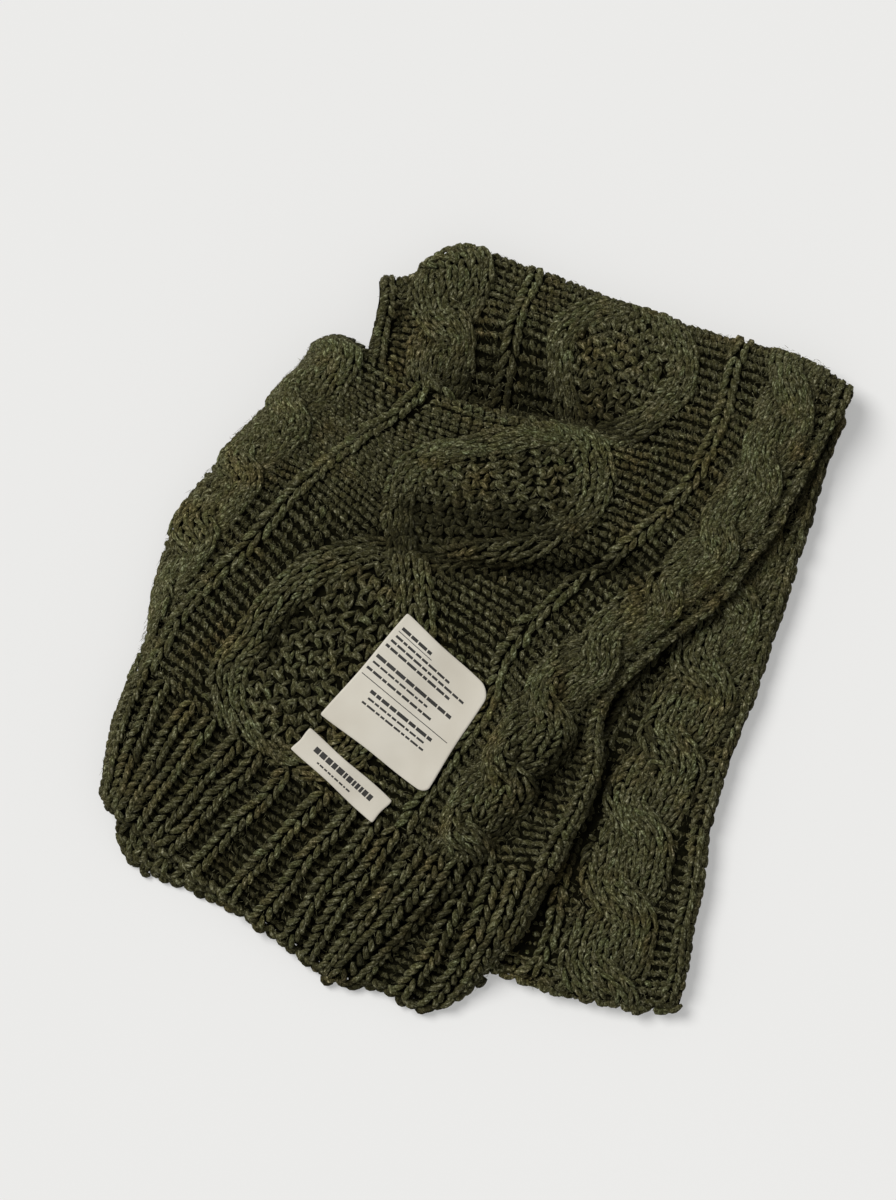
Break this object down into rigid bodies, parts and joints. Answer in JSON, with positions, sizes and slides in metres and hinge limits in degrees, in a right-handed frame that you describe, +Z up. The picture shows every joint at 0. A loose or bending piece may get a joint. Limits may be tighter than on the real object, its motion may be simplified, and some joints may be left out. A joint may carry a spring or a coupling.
{
  "type": "knit scarf",
  "caption": "Chunky cable-knit scarf, folded in layers and laid flat, with ribbed ends and sewn-on labels.",
  "frame": {"origin": "on the table, under the middle of the folded scarf", "axes": "+Z up from the table; +Y towards the far fold, away from the ribbed hem; +X to the right"},
  "size_m": [0.481, 0.4914, 0.0526],
  "materials": {
    "knit": "matt heathered olive wool yarn, cable knit",
    "label": "smooth off-white woven tape with a slight sheen"
  },
  "bodies": {
    "root": {"front_stretch": "knit", "upper_stretch": "knit", "under_stretch": "knit", "second_hem": "knit", "folded_layers": "knit", "big_label": "label", "small_label": "label"}
  },
  "joints": []
}
